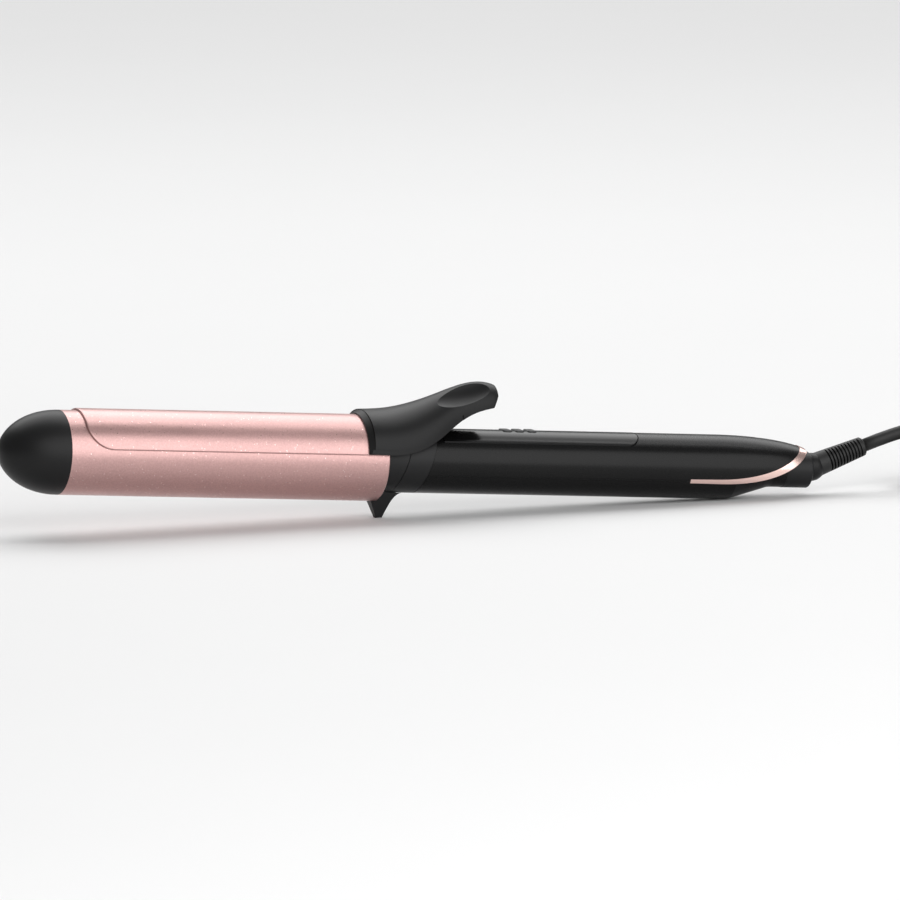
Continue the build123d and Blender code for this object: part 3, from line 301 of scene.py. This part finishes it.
def metal(name, color, roughness, stretch=(1.0, 40.0, 40.0), depth=0.000006, spread=0.1):
    """Metal drawn or brushed along X."""
    made, tree, surface, place = shader(name, color, roughness, 1.0)
    scaled = tree.nodes.new("ShaderNodeMapping")
    tree.links.new(place, scaled.inputs["Vector"])
    scaled.inputs["Scale"].default_value = stretch
    lines = noise(tree, scaled.outputs["Vector"], 120.0, 4.0, 0.7)
    tree.links.new(
        tint(tree, lines, tuple(0.85 * part for part in color), color), surface.inputs["Base Color"]
    )
    tree.links.new(
        ramp(tree, lines, 0.25, 0.75, roughness, roughness + spread), surface.inputs["Roughness"]
    )
    bump(tree, surface, lines, depth)
    return made


FLAKE_SCALE = 1500.0  # flakes per metre
FLAKE_RARITY = (0.955, 0.965)  # share of the cells that hold no flake
FLAKE_EDGE = (0.42, 0.3)
FLAKE_POLISH = -0.2


def glitter_coating(name, color, flake_color):
    """Ceramic coating on metal, with fine glitter flakes under it."""
    made, tree, surface, place = shader(
        name, color, 0.36, 0.78, Coat_Weight=0.15, Coat_Roughness=0.25
    )
    flakes = tree.nodes.new("ShaderNodeTexVoronoi")
    tree.links.new(place, flakes.inputs["Vector"])
    flakes.inputs["Scale"].default_value = FLAKE_SCALE
    chance = tree.nodes.new("ShaderNodeSeparateColor")
    tree.links.new(flakes.outputs["Color"], chance.inputs["Color"])
    chosen = ramp(tree, chance.outputs["Red"], *FLAKE_RARITY)
    small = ramp(tree, flakes.outputs["Distance"], *FLAKE_EDGE)
    lit = tree.nodes.new("ShaderNodeMath")
    lit.operation = "MULTIPLY"
    tree.links.new(chosen, lit.inputs[0])
    tree.links.new(small, lit.inputs[1])
    grain = noise(tree, place, 1400.0, 2.0)
    drift = noise(tree, place, 26.0, 2.0)
    body = tree.nodes.new("ShaderNodeMix")
    body.data_type = "RGBA"
    tree.links.new(lit.outputs["Value"], body.inputs["Factor"])
    darker = tuple(0.9 * part for part in color)
    lighter = tuple(min(1.0, 1.06 * part) for part in color)
    tree.links.new(tint(tree, ramp(tree, grain, 0.3, 0.7), darker, lighter), body.inputs["A"])
    body.inputs["B"].default_value = (*flake_color, 1.0)
    tree.links.new(body.outputs["Result"], surface.inputs["Base Color"])
    polish = tree.nodes.new("ShaderNodeMath")
    polish.operation = "MULTIPLY_ADD"
    tree.links.new(lit.outputs["Value"], polish.inputs[0])
    polish.inputs[1].default_value = FLAKE_POLISH
    tree.links.new(ramp(tree, drift, 0.3, 0.7, 0.33, 0.40), polish.inputs[2])
    tree.links.new(polish.outputs["Value"], surface.inputs["Roughness"])
    bump(tree, surface, grain, 0.00001)
    return made


ROSE = (0.53, 0.325, 0.31)
black_satin = moulded("black_satin", (0.007, 0.007, 0.0073), 0.42, 2600.0, 0.000006, Specular_IOR_Level=0.22)
black_shell = moulded(
    "black_shell", (0.003, 0.003, 0.0031), 0.27, 3000.0, 0.0000015, 0.03, Specular_IOR_Level=0.2
)
grey_satin = moulded("grey_satin", (0.009, 0.009, 0.0095), 0.42, 2600.0, 0.000006, Specular_IOR_Level=0.24)
panel_black = moulded(
    "panel_black", (0.003, 0.003, 0.0031), 0.18, 3000.0, 0.000001, 0.03, Specular_IOR_Level=0.24
)
chip_black = panel_black.copy()
button_black = moulded("button_black", (0.025, 0.025, 0.026), 0.4)
cord_black = moulded("cord_black", (0.011, 0.011, 0.011), 0.5, 1500.0, 0.00003, Specular_IOR_Level=0.35)
boot_black = moulded("boot_black", (0.01, 0.01, 0.01), 0.5, 1200.0, 0.00003, Specular_IOR_Level=0.35)
plug_black = moulded("plug_black", (0.02, 0.02, 0.021), 0.42, 1300.0, 0.00003)
strap_black = moulded("strap_black", (0.014, 0.014, 0.014), 0.75, 1600.0, 0.00012, Specular_IOR_Level=0.3)
heat_plastic = moulded("heat_plastic", (0.16, 0.13, 0.1), 0.6)
board_green = moulded("board_green", (0.02, 0.12, 0.05), 0.35)
film_amber = moulded("film_amber", (0.45, 0.2, 0.04), 0.3)
sleeve_white = moulded("sleeve_white", (0.6, 0.6, 0.57), 0.6)
case_yellow = moulded("case_yellow", (0.55, 0.38, 0.05), 0.4)
clear_lens = moulded("clear_lens", (0.55, 0.57, 0.6), 0.12, 400.0, 0.000003, 0.03, Transmission_Weight=0.5)
rose_coating = glitter_coating("rose_coating", ROSE, (0.78, 0.56, 0.53))
rose_gold = metal("rose_gold", (0.97, 0.70, 0.64), 0.2, (0.6, 6.0, 6.0), 0.000001, 0.06)
steel = metal("steel", (0.55, 0.55, 0.56), 0.3)
aluminium = metal("aluminium", (0.78, 0.78, 0.8), 0.32)
brass = metal("brass", (0.78, 0.6, 0.3), 0.24)

NODE_MATERIALS = {
    black_satin: ("tip_cap", "thumb_lever", "swivel_head"),
    black_shell: ("handle_upper", "handle_lower"),
    grey_satin: ("stand_collar", "neck_ring", "tail_socket"),
    panel_black: ("control_panel",),
    button_black: ("minus_button", "plus_button", "power_button"),
    boot_black: ("strain_relief",),
    plug_black: ("plug_body",),
    strap_black: ("hank_tie",),
    cord_black: ("cord_lead", "cord_hank", "cord_tail"),
    rose_coating: ("barrel_tube", "clamp_plate"),
    rose_gold: ("trim_band",),
    heat_plastic: ("front_disc", "rear_seat"),
    steel: ("tip_screw", "shoe_spring", "thermal_fuse", "hinge_bracket", "hinge_pin", "clamp_spring",
            "clamp_rivets", "handle_screws"),
    aluminium: ("heater_shoe_upper", "heater_shoe_lower", "heat_sink"),
    brass: ("plug_pins", "contact_rings", "contact_brushes"),
    film_amber: ("heater_element", "temperature_sensor"),
    sleeve_white: ("heater_leads", "supply_leads"),
    board_green: ("circuit_board",),
    chip_black: ("tact_switches", "controller_chip", "triac"),
    case_yellow: ("capacitor",),
    clear_lens: ("light_guide", "light_sources"),
}
for material, names in NODE_MATERIALS.items():
    for name in names:
        nodes[name].data.materials.clear()
        nodes[name].data.materials.append(material)

# ---- Clamp plate with rolled edges, in place of the plain CAD strip --------------------------
PLATE_R, PLATE_UNDER_R = 19.95, 19.15
PLATE_FRONT, PLATE_REAR = -144.7, -1.0
PLATE_EDGE_Z = 3.7
PLATE_CORNER = 12.5
EDGE_ROUND = 0.55
EDGE_STEPS = (0.0, 0.04, 0.12, 0.22, 0.36, 0.55)
PLATE_SPANS = 10
ARC_SPANS = 32  # each side of the top


def plate_half(x):
    """Half the plate's width along its arc at a station, in millimetres."""
    half = PLATE_R * math.acos(PLATE_EDGE_Z / PLATE_R)
    inward = PLATE_CORNER - (x - PLATE_FRONT)
    if inward > 0:
        half -= PLATE_CORNER - math.sqrt(max(0.0, PLATE_CORNER**2 - inward**2))
    return half


def plate_inset(x, run):
    """How far a point of the plate is from its nearest edge."""
    half = plate_half(PLATE_REAR)
    corner_x, corner_run = PLATE_FRONT + PLATE_CORNER, half - PLATE_CORNER
    if x < corner_x and abs(run) > corner_run:
        return PLATE_CORNER - math.hypot(corner_x - x, abs(run) - corner_run)
    return min(x - PLATE_FRONT, half - abs(run))


def make_plate():
    """The plate: its outer skin, rounded over at its edges, its edge walls and its curved underside."""
    shape = bmesh.new()
    stations = [PLATE_FRONT + step for step in EDGE_STEPS]
    stations += [
        PLATE_FRONT + PLATE_CORNER * (1 - math.cos(math.radians(turn))) for turn in range(20, 91, 5)
    ]
    straight = PLATE_FRONT + PLATE_CORNER
    span = (PLATE_REAR - straight) / PLATE_SPANS
    stations += [straight + span * step for step in range(1, PLATE_SPANS + 1)]
    shares = [step / ARC_SPANS for step in range(-ARC_SPANS, ARC_SPANS + 1)]
    grid = []
    for x in stations:
        half = plate_half(x)
        left = [-half + step for step in EDGE_STEPS[:-1]]
        middle = [share * (half - EDGE_STEPS[-1]) for share in shares]
        runs = left + middle + [-run for run in reversed(left)]
        row = []
        for run in runs:
            inset = min(EDGE_ROUND, max(0.0, plate_inset(x, run)))
            fall = EDGE_ROUND - math.sqrt(EDGE_ROUND**2 - (EDGE_ROUND - inset) ** 2)
            turn = run / PLATE_R
            radius = PLATE_R - fall
            row.append(shape.verts.new(at(x, radius * math.sin(turn), radius * math.cos(turn))))
        for turn in (run / PLATE_R for run in reversed(runs)):
            row.append(shape.verts.new(
                at(x, PLATE_UNDER_R * math.sin(turn), PLATE_UNDER_R * math.cos(turn))
            ))
        grid.append(row)
    for row, after in zip(grid, grid[1:]):
        for index in range(len(row)):
            follow = (index + 1) % len(row)
            shape.faces.new((row[index], row[follow], after[follow], after[index]))
    for row in (grid[0], grid[-1]):
        for index in range(len(row) // 2 - 1):
            shape.faces.new((row[index], row[index + 1], row[-2 - index], row[-1 - index]))
    bmesh.ops.recalc_face_normals(shape, faces=shape.faces)
    mesh = bpy.data.meshes.new("plate_skin")
    shape.to_mesh(mesh)
    shape.free()
    return mesh


plate = new_piece("plate_skin", make_plate(), rose_coating)
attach(plate, "clamp")
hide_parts("clamp_plate")

# ---- Hook-and-loop tie round the hank's waist ------------------------------------------------
TIE_WIDTH = 0.0112
TIE_THICK = 0.0006
TIE_HALF = 0.01235
TIE_LOW, TIE_HIGH = 0.0006, 0.0195
TIE_CORNER = 0.0032
TIE_CHAMFER = 0.0002
CORNER_SPANS = 6
TAB_START_Y, TAB_END_Z = 0.0065, 0.0085


def tie_path(offset):
    """The tie's rounded section as (y, z, outward y, outward z), from under the hank anticlockwise."""
    path = []
    for side_y, side_z, start in ((1, -1, -90), (1, 1, 0), (-1, 1, 90), (-1, -1, 180)):
        corner_y = side_y * (TIE_HALF - TIE_CORNER)
        corner_z = TIE_LOW + TIE_CORNER if side_z < 0 else TIE_HIGH - TIE_CORNER
        for step in range(CORNER_SPANS + 1):
            turn = math.radians(start + 90 / CORNER_SPANS * step)
            out_y, out_z = math.cos(turn), math.sin(turn)
            reach = TIE_CORNER + offset
            path.append((corner_y + reach * out_y, corner_z + reach * out_z, out_y, out_z))
    return path


def band(shape, path, closed):
    """A flat band TIE_THICK thick with bevelled edges, along a path in the Y-Z plane."""
    half, thick, cut = TIE_WIDTH / 2, TIE_THICK, TIE_CHAMFER
    section = (
        (-half, cut), (-half + cut, 0.0), (half - cut, 0.0), (half, cut),
        (half, thick - cut), (half - cut, thick), (-half + cut, thick), (-half, thick - cut),
    )
    rings = [
        [shape.verts.new((WAIST_X + x, y + rise * out_y, z + rise * out_z)) for x, rise in section]
        for y, z, out_y, out_z in path
    ]
    pairs = list(zip(rings, rings[1:]))
    if closed:
        pairs.append((rings[-1], rings[0]))
    else:
        shape.faces.new(rings[0][::-1])
        shape.faces.new(rings[-1])
    for ring, after in pairs:
        for index in range(len(section)):
            follow = (index + 1) % len(section)
            shape.faces.new((ring[index], ring[follow], after[follow], after[index]))


tie_shape = bmesh.new()
band(tie_shape, tie_path(0.0), True)
third_corner = 2 * (CORNER_SPANS + 1)
bend = tie_path(TIE_THICK)[third_corner:third_corner + CORNER_SPANS + 1]
tab = [(TAB_START_Y, bend[0][1], 0.0, 1.0), *bend, (bend[-1][0], TAB_END_Z, -1.0, 0.0)]
band(tie_shape, tab, False)
bmesh.ops.recalc_face_normals(tie_shape, faces=tie_shape.faces)
tie_mesh = bpy.data.meshes.new("tie_strap")
tie_shape.to_mesh(tie_mesh)
tie_shape.free()
tie = new_piece("tie_strap", tie_mesh, strap_black, smooth=False)
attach(tie, "root")
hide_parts("hank_tie")

# ---- Cord, in one piece from the boot to the plug -------------------------------------------
route = LEAD_POINTS + tuple(hank_points()) + TAIL_POINTS
cord_line = spline_line("cord_route", route, 5)
cord = tube("cord", cord_line, CORD_R, 16, cord_black)
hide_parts("cord_lead", "cord_hank", "cord_tail")
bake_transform(cord)
cord_run = sum((b - a).length for a, b in zip(cord_line, cord_line[1:]))
print("cord length", round(cord_run, 4), "control points", len(route))

# ---- Floor and light -----------------------------------------------------------------------
floor_mesh = bpy.data.meshes.new("floor")
FLOOR = 30.0
floor_mesh.from_pydata(
    [(-FLOOR, -FLOOR, 0), (FLOOR, -FLOOR, 0), (FLOOR, FLOOR, 0), (-FLOOR, FLOOR, 0)], [], [(0, 1, 2, 3)]
)
paper, paper_tree, paper_surface, paper_place = shader("paper", (0.78, 0.78, 0.78), 0.9)
paper_cloud = noise(paper_tree, paper_place, 3.0)
paper_tree.links.new(
    tint(paper_tree, paper_cloud, (0.77, 0.77, 0.77), (0.79, 0.79, 0.79)),
    paper_surface.inputs["Base Color"],
)
floor = new_piece("floor", floor_mesh, paper, smooth=False)

world = bpy.data.worlds.new("studio")
world.use_nodes = True
world.node_tree.nodes["Background"].inputs["Color"].default_value = (1.0, 1.0, 1.0, 1.0)
world.node_tree.nodes["Background"].inputs["Strength"].default_value = 0.26
scene.world = world
scene.view_settings.view_transform = "Standard"


def softbox(name, azimuth, elevation, distance, width, height, power):
    """A large soft light aimed at the iron, placed by its direction in degrees."""
    light = bpy.data.lights.new(name, "AREA")
    light.shape = "RECTANGLE"
    light.size, light.size_y, light.energy = width, height, power
    a, e = math.radians(azimuth), math.radians(elevation)
    away = Vector((math.sin(a) * math.cos(e), -math.cos(a) * math.cos(e), math.sin(e)))
    box = bpy.data.objects.new(name, light)
    scene.collection.objects.link(box)
    box.visible_camera = False
    facing = away.to_track_quat("Z", "Y").to_matrix().to_4x4()
    box.matrix_world = Matrix.Translation(away * distance) @ facing


softbox("front_box", 14.0, 24.0, 1.9, 3.0, 1.7, 36.0)
softbox("back_box", 158.0, 48.0, 1.9, 2.6, 0.8, 8.0)
softbox("strip_box", 158.0, 78.0, 1.6, 2.6, 0.14, 4.0)
softbox("far_box", 158.0, 52.0, 5.0, 7.0, 5.0, 190.0)
